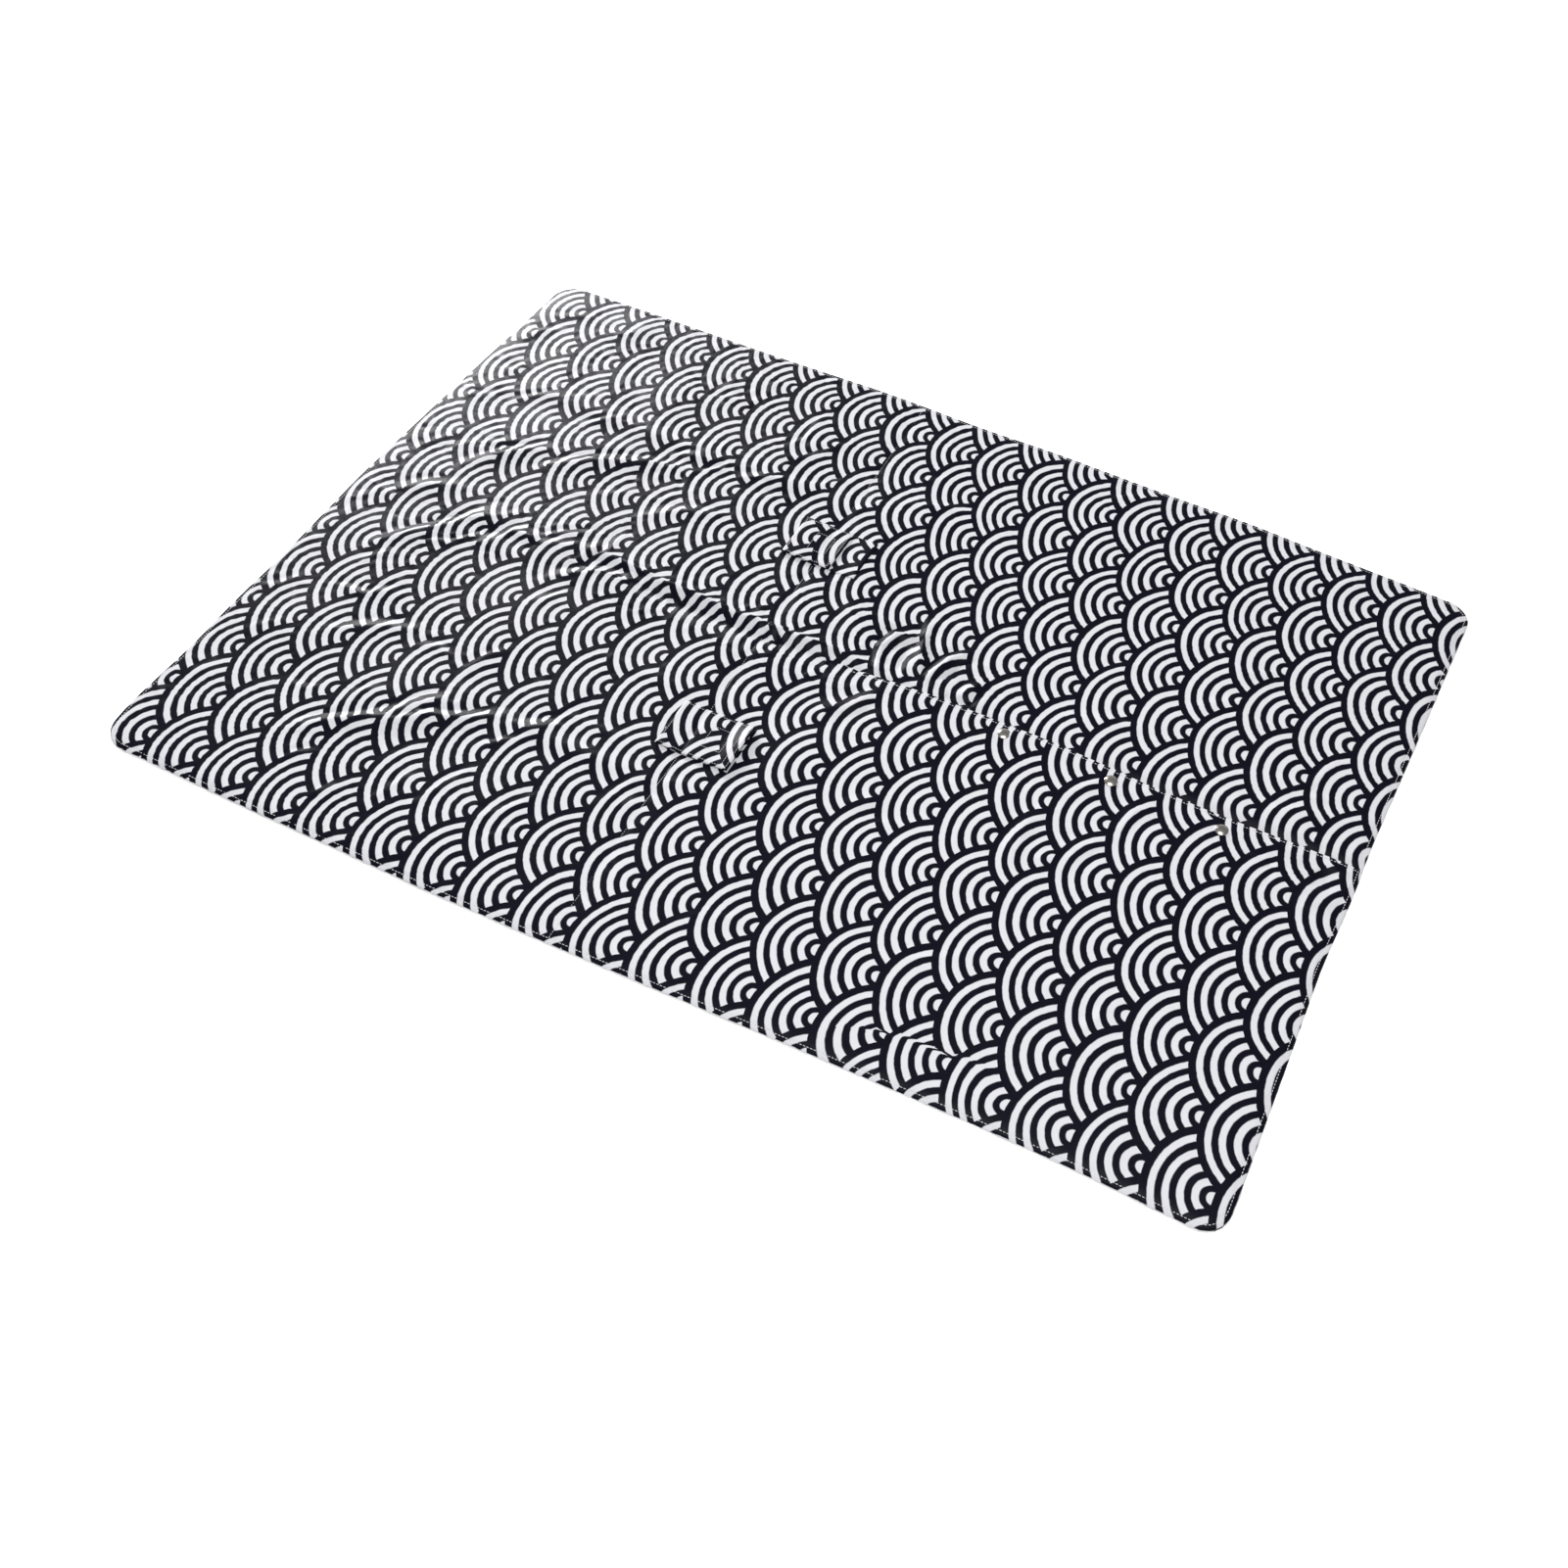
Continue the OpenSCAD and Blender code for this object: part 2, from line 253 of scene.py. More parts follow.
def small_creases():
    """Short slight creases over the whole cover, most of them over the left half."""
    rng = np.random.default_rng(7)
    made = []
    for _ in range(SMALL_CREASES):
        x = -HALF_L + 2 * HALF_L * rng.random() ** 1.6
        start = np.array([x, rng.uniform(-HALF_W + 50, HALF_W - 50)])
        angle = math.radians(rng.normal(38, 20))
        run = rng.uniform(26, 84) * np.array([math.cos(angle), math.sin(angle)])
        bend = rng.normal(0, 6) * np.array([-math.sin(angle), math.cos(angle)])
        made.append(([start, start + run / 2 + bend, start + run], rng.uniform(0.4, 1.3)))
    return made


WAVES = 26
RNG = np.random.default_rng(11)
WAVE_LENGTH = RNG.uniform(70, 260, WAVES)
WAVE_ANGLE = RNG.uniform(0, math.pi, WAVES)
WAVE_PHASE = RNG.uniform(0, 2 * math.pi, WAVES)


def along_line(p, line):
    """Each point's distance from a line, its side (1 on the left) and how far along it is (0 to 1)."""
    line = np.array(line, float)
    steps = np.linalg.norm(np.diff(line, axis=0), axis=1)
    best, side, where, run = np.full(len(p), np.inf), np.zeros(len(p)), np.zeros(len(p)), 0.0
    for a, b, long in zip(line[:-1], line[1:], steps):
        u = (b - a) / long
        t = np.clip((p - a) @ u, 0, long)
        away = p - a - t[:, None] * u
        far = np.linalg.norm(away, axis=1)
        closer = far < best
        best[closer] = far[closer]
        side[closer] = np.where(u[0] * away[closer, 1] - u[1] * away[closer, 0] >= 0, 1, -1)
        where[closer] = (run + t[closer]) / steps.sum()
        run += long
    return best, side, where


def wrinkles(p):
    """The soft wrinkles' height, each with a slight trough beside it."""
    z = np.zeros(len(p))
    for line, high, wide in WRINKLES:
        far, _, where = along_line(p, line)
        fade = rise_and_fall(where, 0.86, 0.07)
        z += high * fade * (bump(far, wide) - 0.35 * bump(far - 2.1 * wide, 1.2 * wide))
    return z


# The one large crease that runs on from the slit's inner end
MAIN_CREASE = [(-352, 38), (-240, 28), (-130, 23), (-50, 24), (10, 29), (60, 24)]
MAIN_HEIGHT = 7.8
MAIN_FAR, MAIN_NEAR = 7.0, 9.5      # its half width on either side
CREASE_GAIN = 1.25
CREASE_REACH = 80.0
STEEP, GENTLE = 6.5, 17.0           # the half widths of the others


def crest(u, scale):
    """A crease's profile: steep on the far side, gentle on the near side, and a slight trough behind it."""
    far, near = np.maximum(u, 0) / (STEEP * scale), np.maximum(-u, 0) / (GENTLE * scale)
    return np.exp(-(far ** 1.5) - near ** 1.4) - 0.22 * bump(u - 2.2 * STEEP * scale, STEEP * scale)


def main_crease(p):
    far, side, where = along_line(p, MAIN_CREASE)
    u = side * far
    fade = rise_and_fall(where, 0.9, 0.07) ** 0.6
    profile = np.exp(-((np.maximum(u, 0) / MAIN_FAR) ** 1.7) - (np.maximum(-u, 0) / MAIN_NEAR) ** 1.8)
    return MAIN_HEIGHT * fade * profile


def creases(p):
    """The height of every crease, each worked out only for the points near it."""
    z = main_crease(p)
    for lines, scale in ((CREASES, 1.0), (small_creases(), 0.7)):
        for line, high in lines:
            reach = CREASE_REACH * scale
            low, top = np.min(line, axis=0) - reach, np.max(line, axis=0) + reach
            near = np.all((p > low) & (p < top), axis=1)
            far, side, where = along_line(p[near], line)
            fade = rise_and_fall(where, 0.9, 0.05) ** 0.7
            z[near] += CREASE_GAIN * high * fade * crest(side * far, scale)
    return z


PLEAT_LENGTH = 15.0
PLEAT_HEIGHT = 1.5


def pleats(p):
    """Fine pleats that cross the main crease's near side."""
    x, y = p[:, 0], p[:, 1]
    window = smooth((x + 300) / 80) * smooth((90 - x) / 60)
    lean = 0.5 * y + 4 * np.sin(x * 0.043)
    return PLEAT_HEIGHT * window * bump(y - 14, 9) * np.sin(2 * math.pi * (x + lean) / PLEAT_LENGTH)


def ripple(p):
    """Slight unevenness of the wadding, stronger over the left half."""
    z = np.zeros(len(p))
    for length, angle, phase in zip(WAVE_LENGTH, WAVE_ANGLE, WAVE_PHASE):
        across = p @ np.array([math.cos(angle), math.sin(angle)])
        z += np.sin(across * 2 * math.pi / length + phase) * (length / 200)
    return z / math.sqrt(WAVES) * (0.55 + 0.35 * smooth((150 - p[:, 0]) / 500))


def seam_x(y):
    """Where the quilting seam crosses the middle at a given y."""
    return SEAM_NEAR_X + (SEAM_FAR_X - SEAM_NEAR_X) * (y + HALF_W) / (2 * HALF_W)


# The near tab and the place where its lifted flap comes to lie: the cover is smooth and a little lower there
CALM_X, CALM_Y = (-225, -10), (-205, -118)
CALM_SHARE = 0.85
CALM_DIP = 0.8


def within(u, low, high, soft):
    """1 between two values and 0 outside them, with soft ends."""
    return smooth((u - low + soft / 2) / soft) * smooth((high + soft / 2 - u) / soft)


def calm(p):
    return within(p[:, 0], *CALM_X, 20) * within(p[:, 1], *CALM_Y, 16)


# The cover's rise from its turned-down edge, by the distance from that edge
ROLL_D = [0, 0.8, 2, 3.4, 5, 6.6, 9, 14, 24, 40]
ROLL_Z = [0, 1.2, 2.0, 2.3, 2.0, 2.6, 3.1, 3.5, 3.7, TOP - LIP_Z]
SEAM_PINCH, SEAM_SAG = 0.9, 0.8


def cover_height(p):
    """Height of the cover's top, before the slit."""
    d, _ = edge_distance(p)
    z = LIP_Z + np.interp(d, ROLL_D, ROLL_Z)
    inner = smooth((d - 6) / 34)
    waves = ripple(p) + wrinkles(p) + creases(p) + pleats(p)
    z += inner * (waves * (1 - CALM_SHARE * calm(p)) - CALM_DIP * calm(p))
    from_seam = p[:, 0] - seam_x(p[:, 1])
    return z - inner * (SEAM_PINCH * bump(from_seam, 3) + SEAM_SAG * bump(from_seam, 16))


SLIT_BOW = 8.0


def slit_edge(x):
    """Y of the lapel's free edge, which wanders a little as cloth does."""
    t = (x - APEX_X) / (HALF_L - APEX_X)
    bow = SLIT_BOW * np.sin(math.pi * np.clip(t * 1.15, 0, 1) ** 0.8)
    return SLIT_Y + bow * (1 - 1.9 * smooth((t - 0.35) / 0.55))


def far_height(p):
    """The far panel, which dips to run under the lapel."""
    under = smooth((p[:, 0] - APEX_X) / PARTING) * smooth((26 - p[:, 1]) / 24)
    return cover_height(p) * (1 - under) + UNDER_LAP_Z * under


# The lapel's free edge, by the distance from it, and how much the whole lapel is raised by the panel under it
LAP_D = [0, 0.8, 2, 3.4, 5, 6.6, 9, 16]
LAP_Z = [-3.2, -1.6, -0.7, -0.4, -0.7, -0.2, 0, 0]
LAP_RISE, LAP_REACH = 1.6, 50.0


def past_fold(p):
    """0 at the lapel's fold line, 1 well past it."""
    return smooth(((p - SLIT_END) @ FOLD_OUT) / 14) * smooth((p[:, 0] - APEX_X) / 40)


def lapel_height(p):
    """The lapel, whose free edge lies over the far panel."""
    free = SLIT_Y - p[:, 1]
    lift = LAP_RISE * smooth((LAP_REACH - free) / LAP_REACH) + np.interp(free, LAP_D, LAP_Z)
    return cover_height(p) + past_fold(p) * lift


def lapel_shift(p):
    """The lapel's points moved so that its edge follows slit_edge."""
    moved = p.copy()
    moved[:, 1] += (slit_edge(p[:, 0]) - SLIT_Y) * smooth((p[:, 1] + 60) / 72) * past_fold(p)
    return moved


# ---- print places

PRINT_ORIGIN = np.array([552.6, -366.4])   # the centre of one of the print's scales


def print_drift(p, far):
    """How far the pulled placket has drawn the print from its even grid."""
    x, y = p[:, 0], p[:, 1]
    drift_x = -6 + 13 * (x / HALF_L) ** 2 + 3 * (y / HALF_W) ** 2
    back = 1.9 + 0.02 * y
    pull = smooth((x + 40) / 230)
    far_side = (-22 - 12 * x / 630) * (1 - (y - 61) / 600)
    near_side = 18 + 0.033 * y
    return np.stack([drift_x, back * (1 - pull) + pull * np.where(far, far_side, near_side)], axis=1)


PULLS = 9
PULL_SIZE = 1.5
PULL_RNG = np.random.default_rng(23)
PULL_LENGTH = PULL_RNG.uniform(55, 190, (PULLS, 2))
PULL_ANGLE = PULL_RNG.uniform(0, math.pi, (PULLS, 2))
PULL_PHASE = PULL_RNG.uniform(0, 2 * math.pi, (PULLS, 2))


def pulls(p):
    """Small uneven pulls of the cloth within its own plane, which make the print's lines wander."""
    out = np.zeros((len(p), 2))
    for length, angle, phase in zip(PULL_LENGTH, PULL_ANGLE, PULL_PHASE):
        across = p[:, :1] * np.cos(angle) + p[:, 1:] * np.sin(angle)
        out += np.sin(2 * math.pi * across / length + phase) * (length / 120)
    return out / math.sqrt(PULLS) * PULL_SIZE


TUCK = [(228, -436), (300, -414), (360, -408), (420, -404)]
TUCK_HIDES = 20.0
TUCK_WITHIN = 70.0                  # it ends this far from the edge


def print_uv(p, far):
    """The print's coordinates in circle radii. A shallow tuck near the near edge hides a little of it."""
    place = p - PRINT_ORIGIN - print_drift(p, far) + pulls(p)
    _, side, where = along_line(p, TUCK)
    d, _ = edge_distance(p)
    in_reach = (where > 0) & (where < 1) & (side < 0) & (d < TUCK_WITHIN)
    place[:, 1] -= np.where(in_reach, TUCK_HIDES * np.sin(math.pi * where) ** 0.8, 0)
    return place / SCALE_R


# ---- meshes

FINE = [0, 0.8, 2, 3.4, 5, 6.6, 9, 12.5, 17, 23]    # the grid lines' distances from an edge


def spaced(low, high, step):
    return list(np.linspace(low, high, max(2, round((high - low) / step) + 1)))


def grid_faces(across, rows):
    """The faces of a grid with that many points across and that many rows of them."""
    return [
        [r * across + c, r * across + c + 1, (r + 1) * across + c + 1, (r + 1) * across + c]
        for r in range(rows - 1)
        for c in range(across - 1)
    ]


def grid_lines(half, step, stops):
    """Grid lines from -half to half, fine at both edges, with a line at each stop."""
    ends = [-half + f for f in FINE], [half - f for f in FINE[::-1]]
    knots = [ends[0][-1], *stops, ends[1][0]]
    middle = []
    for a, b in zip(knots[:-1], knots[1:]):
        middle += spaced(a, b, step)[1:]
    return np.array(ends[0] + middle[:-1] + ends[1])


def lie_of_outline(x, y):
    """A point of the plain rectangle, moved to where the rounded, slightly skewed outline has it."""
    for sx in (-1, 1):
        for sy in (-1, 1):
            p, q = sx * x - (HALF_L - CORNER_R), sy * y - (HALF_W - CORNER_R)
            corner = (p > 0) & (q > 0)
            share = np.where(corner, np.maximum(p, q) / np.maximum(np.hypot(p, q), 1e-6), 1)
            x = np.where(corner, sx * (HALF_L - CORNER_R + p * share), x)
            y = np.where(corner, sy * (HALF_W - CORNER_R + q * share), y)

    def held(u):
        return 1 - smooth((u - 40) / 220)

    down, right = 1 - (y + HALF_W) / (2 * HALF_W), (x + HALF_L) / (2 * HALF_L)
    dx = NEAR_LEFT_IN * down * held(x + HALF_L) - NEAR_RIGHT_IN * down * held(HALF_L - x)
    dy = NEAR_DRAW * right * held(y + HALF_W) - FAR_DROP * right * held(HALF_W - y)
    return x + dx, y + dy


def flat_sheet(step):
    """The whole outline as one flat mesh, cut along the lapel's fold line."""
    xs = grid_lines(HALF_L, step, [0, APEX_X])
    by_strip = [STRIP_Y, STRIP_Y + 2.5, STRIP_Y + 5, -10]
    by_slit = [SLIT_Y - f for f in FINE[7:0:-1]]
    ys = grid_lines(HALF_W, step, [*by_strip, *by_slit, SLIT_Y, SLIT_Y + 14])
    gx, gy = np.meshgrid(xs, ys)
    x, y = lie_of_outline(gx.ravel(), gy.ravel())
    mesh = bpy.data.meshes.new("flat")
    mesh.from_pydata(np.stack([x, y, np.zeros_like(x)], axis=1), [], grid_faces(len(xs), len(ys)))
    bm = bmesh.new()
    bm.from_mesh(mesh)
    bpy.data.meshes.remove(mesh)
    near = [f for f in bm.faces if in_quadrant(f.calc_center_median())]
    parts = list({g for f in near for g in [f, *f.edges, *f.verts]})
    bmesh.ops.bisect_plane(bm, geom=parts, dist=0.3, plane_co=(*SLIT_END, 0), plane_no=(*FOLD_OUT, 0))
    points = np.array([v.co[:2] for v in bm.verts])
    bm.verts.index_update()
    shapes = [[v.index for v in f.verts] for f in bm.faces]
    centres = np.array([f.calc_center_median()[:2] for f in bm.faces])
    bm.free()
    return points, shapes, centres


def in_quadrant(c):
    """Whether a point is right of the slit's end and on its near side."""
    return c[0] > APEX_X and c[1] < SLIT_Y


def on_lapel(p):
    return (p[:, 0] > APEX_X) & (p[:, 1] < SLIT_Y) & ((p - SLIT_END) @ FOLD_OUT > 0)


def regions(centres):
    """Which faces belong to the lapel, and which of those also lie over the strip."""
    lapel = on_lapel(centres)
    return lapel, lapel & (centres[:, 1] > STRIP_Y)


def picked(points, shapes, chosen):
    """Only the chosen faces, and the points that they use."""
    shapes = [s for s, c in zip(shapes, chosen) if c]
    used = sorted({i for s in shapes for i in s})
    new = {old: i for i, old in enumerate(used)}
    return points[used], [[new[i] for i in s] for s in shapes]


def new_mesh(name, points, shapes, uv, material):
    """A mesh object from points in millimetres, with the print's coordinates as its UV map."""
    mesh = bpy.data.meshes.new(name)
    mesh.from_pydata(np.asarray(points) * MM, [], shapes)
    mesh.update()
    if uv is not None:
        corners = np.zeros(len(mesh.loops), np.int32)
        mesh.loops.foreach_get("vertex_index", corners)
        layer = mesh.uv_layers.new(name="print")
        layer.data.foreach_set("uv", np.asarray(uv, np.float32)[corners].ravel())
    mesh.polygons.foreach_set("use_smooth", [True] * len(mesh.polygons))
    obj = bpy.data.objects.new(name, mesh)
    bpy.context.scene.collection.objects.link(obj)
    mesh.materials.append(material)
    return obj


WELD = 0.2


def joined(name, parts, material):
    """Several (points, shapes, uv) as one mesh, with points nearer than WELD made one."""
    points, shapes, uvs, start = [], [], [], 0
    for p, s, u in parts:
        points.append(p)
        uvs.append(u)
        shapes += [[i + start for i in f] for f in s]
        start += len(p)
    obj = new_mesh(name, np.concatenate(points), shapes, np.concatenate(uvs), material)
    bm = bmesh.new()
    bm.from_mesh(obj.data)
    bmesh.ops.remove_doubles(bm, verts=bm.verts, dist=WELD * MM)
    bm.to_mesh(obj.data)
    bm.free()
    return obj


def lifted(p, z):
    """Points of the straight outline at their heights, moved as the laid cloth has them."""
    return np.column_stack([wander(p), z])


def slab(points, shapes, top, bottom):
    """A closed solid between two heights over the same faces."""
    count = len(points)
    edges = {}
    for s in shapes:
        for a, b in zip(s, s[1:] + s[:1]):
            edges[(a, b)] = True
    rim = [(a, b) for a, b in edges if (b, a) not in edges]
    walls = [(b, a, a + count, b + count) for a, b in rim]
    below = [[i + count for i in s[::-1]] for s in shapes]
    both = np.concatenate([lifted(points, top), lifted(points, bottom)])
    return both, [list(s) for s in shapes] + below + walls


# ---- materials


class Graph:
    """A short way to write a node tree."""

    def __init__(self, name):
        self.material = bpy.data.materials.new(name)
        self.material.use_nodes = True
        self.nodes, self.links = self.material.node_tree.nodes, self.material.node_tree.links
        self.shader = self.nodes["Principled BSDF"]

    def node(self, kind, values=(), **settings):
        made = self.nodes.new(kind)
        for key, value in settings.items():
            setattr(made, key, value)
        for socket, value in dict(values).items():
            self.put(made.inputs[socket], value)
        return made

    def put(self, socket, value):
        if isinstance(value, bpy.types.NodeSocket):
            self.links.new(value, socket)
        else:
            socket.default_value = value

    def place(self):
        return self.node("ShaderNodeTexCoord").outputs["Object"]

    def maths(self, operation, a, b=0.0, c=0.0):
        made = self.node("ShaderNodeMath", operation=operation)
        for socket, value in zip(made.inputs, (a, b, c)):
            self.put(socket, value)
        return made.outputs[0]

    def mix(self, share, a, b):
        made = self.node("ShaderNodeMix", data_type="RGBA")
        self.put(made.inputs["Factor"], share)
        self.put(made.inputs[6], a)
        self.put(made.inputs[7], b)
        return made.outputs[2]

    def noise(self, vector, scale, detail=2.0, rough=0.5):
        made = self.node(
            "ShaderNodeTexNoise", {"Vector": vector, "Scale": scale, "Detail": detail, "Roughness": rough}
        )
        return made.outputs["Fac"]

    def ramp(self, value, stops):
        made = self.node("ShaderNodeValToRGB")
        elements = made.color_ramp.elements
        while len(elements) < len(stops):
            elements.new(1.0)
        for element, (place, level) in zip(elements, stops):
            element.position = place
            element.color = (level, level, level, 1)
        self.put(made.inputs[0], value)
        return made.outputs[0]

    def bump(self, height, strength, distance):
        made = self.node("ShaderNodeBump", {"Height": height, "Strength": strength, "Distance": distance})
        return made.outputs[0]

    def set(self, **values):
        for name, value in values.items():
            self.put(self.shader.inputs[name.replace("_", " ")], value)
        return self.material


# Where the print's rings change between white and navy, in circle radii
RING_EDGES = [0.092, 0.187, 0.286, 0.386, 0.486, 0.590, 0.688, 0.790, 0.886]
RING_FEATHER = 0.006
NAVY = (0.0042, 0.0042, 0.0098, 1)
OFF_WHITE = (0.70, 0.70, 0.735, 1)


def ring_stops():
    """Ramp stops for the rings of one scale: white core, then navy and white in turn."""
    stops, level = [(0.0, 1.0)], 1.0
    for edge in RING_EDGES:
        stops += [(edge - RING_FEATHER, level), (edge + RING_FEATHER, 1 - level)]
        level = 1 - level
    return stops


def wave_scales(g, u, v):
    """Distance from the centre of the scale on top. Each column of scales covers the one to its left."""
    column = g.maths("FLOOR", g.maths("MULTIPLY_ADD", u, 2.0, 2.0))
    chosen = None
    for back in (3, 2, 1, 0):
        index = g.maths("SUBTRACT", column, float(back))
        dx = g.maths("SUBTRACT", g.maths("MULTIPLY", index, 0.5), u)
        dy = g.maths("WRAP", g.maths("SUBTRACT", v, index), 1.0, -1.0)
        far = g.maths("SQRT", g.maths("MULTIPLY_ADD", dx, dx, g.maths("MULTIPLY", dy, dy)))
        if chosen is None:
            chosen = far
        else:
            covers = g.maths("LESS_THAN", far, 1.0)
            chosen = g.maths("MULTIPLY_ADD", g.maths("SUBTRACT", far, chosen), covers, chosen)
    return chosen


def woven(g, u, v, threads):
    """Height of a plain weave with that many threads to a circle radius."""
    turn = 2 * math.pi * threads
    warp = g.maths("SINE", g.maths("MULTIPLY", u, turn))
    weft = g.maths("SINE", g.maths("MULTIPLY", v, turn))
    return g.maths("MULTIPLY_ADD", g.maths("MULTIPLY", warp, weft), 0.5, 0.5)


def printed_cotton():
    g = Graph("printed_cotton")
    place = g.node("ShaderNodeUVMap", uv_map="print").outputs["UV"]
    wobble = g.node("ShaderNodeTexNoise", {"Vector": place, "Scale": 9.0, "Detail": 1.0})
    middle = {0: wobble.outputs["Color"], 1: (0.5, 0.5, 0.5)}
    nudge = g.node("ShaderNodeVectorMath", middle, operation="SUBTRACT")
    nudged = g.node("ShaderNodeVectorMath", {0: nudge.outputs[0], 3: 0.016}, operation="SCALE")
    moved = g.node("ShaderNodeVectorMath", {0: place, 1: nudged.outputs[0]}, operation="ADD")
    split = g.node("ShaderNodeSeparateXYZ", {0: moved.outputs[0]})
    u, v = split.outputs["X"], split.outputs["Y"]
    white = g.ramp(wave_scales(g, u, v), ring_stops())
    weave = woven(g, u, v, 60.0)
    slub = g.noise(place, 34.0, 3.0, 0.6)
    speck = g.noise(place, 120.0, 2.0, 0.7)
    tone = g.maths("MULTIPLY_ADD", slub, 0.10, g.maths("MULTIPLY", speck, 0.16))
    worn_navy = g.mix(g.maths("MULTIPLY", speck, 0.22), NAVY, (0.012, 0.012, 0.022, 1))
    shaded_white = g.mix(tone, OFF_WHITE, (0.50, 0.50, 0.54, 1))
    height = g.maths("ADD", g.maths("MULTIPLY", weave, 0.5), g.maths("MULTIPLY", slub, 0.8))
    return g.set(
        Base_Color=g.mix(white, worn_navy, shaded_white),
        Roughness=g.maths("MULTIPLY_ADD", slub, 0.10, 0.255),
        Specular_IOR_Level=0.055,
        Normal=g.bump(height, 0.22, 0.0006),
    )


def fleece():
    g = Graph("fleece")
    place = g.place()
    tuft = g.noise(place, 420.0, 4.0, 0.7)
    patch = g.noise(place, 35.0, 2.0)
    shade = g.maths("MULTIPLY_ADD", tuft, 0.35, g.maths("MULTIPLY", patch, 0.15))
    return g.set(
        Base_Color=g.mix(shade, (0.76, 0.76, 0.77, 1), (0.50, 0.50, 0.52, 1)),
        Roughness=0.95,
        Sheen_Weight=0.3,
        Sheen_Roughness=0.6,
        Normal=g.bump(tuft, 0.9, 0.0016),
    )


def fibres(name, grain, light, dark, relief, **values):
    """Loose or twisted fibres. The grain is the noise's values, and the relief is the bump's."""
    g = Graph(name)
    tuft = g.noise(g.place(), *grain)
    return g.set(Base_Color=g.mix(tuft, light, dark), Normal=g.bump(tuft, *relief), **values)


def nickel():
    g = Graph("nickel")
    place = g.place()
    smear = g.noise(place, 260.0, 4.0, 0.65)
    scuff = g.noise(place, 1400.0, 3.0, 0.6)
    return g.set(
        Base_Color=g.mix(smear, (0.62, 0.59, 0.55, 1), (0.50, 0.475, 0.44, 1)),
        Metallic=1.0,
        Roughness=g.maths("MULTIPLY_ADD", smear, 0.16, 0.16),
        Normal=g.bump(scuff, 0.06, 0.0003),
    )


def tape(name, light, dark, scale):
    g = Graph(name)
    place = g.place()
    cells = g.node("ShaderNodeTexVoronoi", {"Vector": place, "Scale": scale}).outputs["Distance"]
    fuzz = g.noise(place, scale * 1.7, 3.0, 0.6)
    shade = g.maths("MULTIPLY_ADD", cells, 0.6, g.maths("MULTIPLY", fuzz, 0.4))
    return g.set(Base_Color=g.mix(shade, light, dark), Roughness=0.8, Normal=g.bump(shade, 0.9, 0.0012))


def floor_paint():
    g = Graph("studio_floor")
    grain = g.noise(g.place(), 3.0)
    return g.set(
        Base_Color=g.mix(grain, (0.93, 0.93, 0.93, 1), (0.91, 0.91, 0.915, 1)),
        Roughness=0.9,
        Emission_Color=(1.0, 1.0, 1.0, 1),
        Emission_Strength=0.32,
    )


COTTON, FLEECE, NICKEL = printed_cotton(), fleece(), nickel()
WADDING = fibres(
    "wadding", (160.0, 5.0, 0.7), (0.93, 0.92, 0.89, 1), (0.78, 0.77, 0.73, 1), (0.8, 0.002), Roughness=0.98
)
THREAD = fibres(
    "thread", (1500.0,), (0.78, 0.78, 0.80, 1), (0.58, 0.58, 0.61, 1), (0.4, 0.0003),
    Roughness=0.62, Sheen_Weight=0.2,
)
LOOP_TAPE = tape("loop_tape", (0.74, 0.74, 0.76, 1), (0.5, 0.5, 0.53, 1), 900.0)
HOOK_TAPE = tape("hook_tape", (0.70, 0.70, 0.72, 1), (0.42, 0.42, 0.46, 1), 700.0)


# ---- baking each cloth piece's transform into its points


def follow_half_fold(obj):
    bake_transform(obj)


def follow_lapel_fold(obj):
    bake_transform(obj)


# ---- quilt's cloth

COVER_STEP = 5.0


def make_cover():
    """The cover with the strip under the lapel, and the lapel's cover."""
    points, shapes, centres = flat_sheet(COVER_STEP)
    lapel, strip = regions(centres)
    main_p, main_s = picked(points, shapes, ~lapel)
    strip_p, strip_s = picked(points, shapes, strip)
    lapel_p, lapel_s = picked(points, shapes, lapel)
    parted = smooth((main_p[:, 0] - APEX_X) / PARTING)
    beyond = main_p[:, 1] >= SLIT_Y - 0.01
    main_z = np.where(beyond, far_height(main_p), cover_height(main_p))
    far = main_p[:, 1] > SLIT_Y * (1 - parted) - 0.01
    strip_uv = print_uv(wander(strip_p), np.full(len(strip_p), True))
    main = joined(
        "printed_cover",
        [
            (lifted(main_p, main_z), main_s, print_uv(wander(main_p), far)),
            (lifted(strip_p, far_height(strip_p)), strip_s, strip_uv),
        ],
        COTTON,
    )
    uv = print_uv(wander(lapel_shift(lapel_p)), np.full(len(lapel_p), False))
    flap = new_mesh("lapel_cover", lifted(lapel_shift(lapel_p), lapel_height(lapel_p)), lapel_s, uv, COTTON)
    return main, flap


# The lining's edge: how far it stands out and how high it is, by the distance from the edge
LINING_D = [0, 0.8, 2, 3.4, 5, 9, 23]
LINING_OUT = [-0.6, 1.4, 2.0, 1.6, 0.2, 0, 0]
LINING_Z = [LIP_Z + 0.4, 5.2, 3.2, 1.4, 0.5, 0.35, 0.35]


def fluff(p, size):
    """Small lumps in the fleece's edge."""
    x, y = p[:, 0], p[:, 1]
    return size * (np.sin(x * 0.61) * np.sin(y * 0.57 + 1) + 0.6 * np.sin(x * 1.31 + y * 1.17))


def lining_points(p):
    d, out = edge_distance(p)
    push = np.interp(d, LINING_D, LINING_OUT) + np.where(d < 4, fluff(p, 0.35), 0)
    return lifted(p + out * push[:, None], np.interp(d, LINING_D, LINING_Z))


LINING_STEP = 9.0
HEM_RISE = 5.0                      # over this length an open edge rises to meet the cover
FACING_BELOW, FACING_LOWEST = 3.9, 4.9


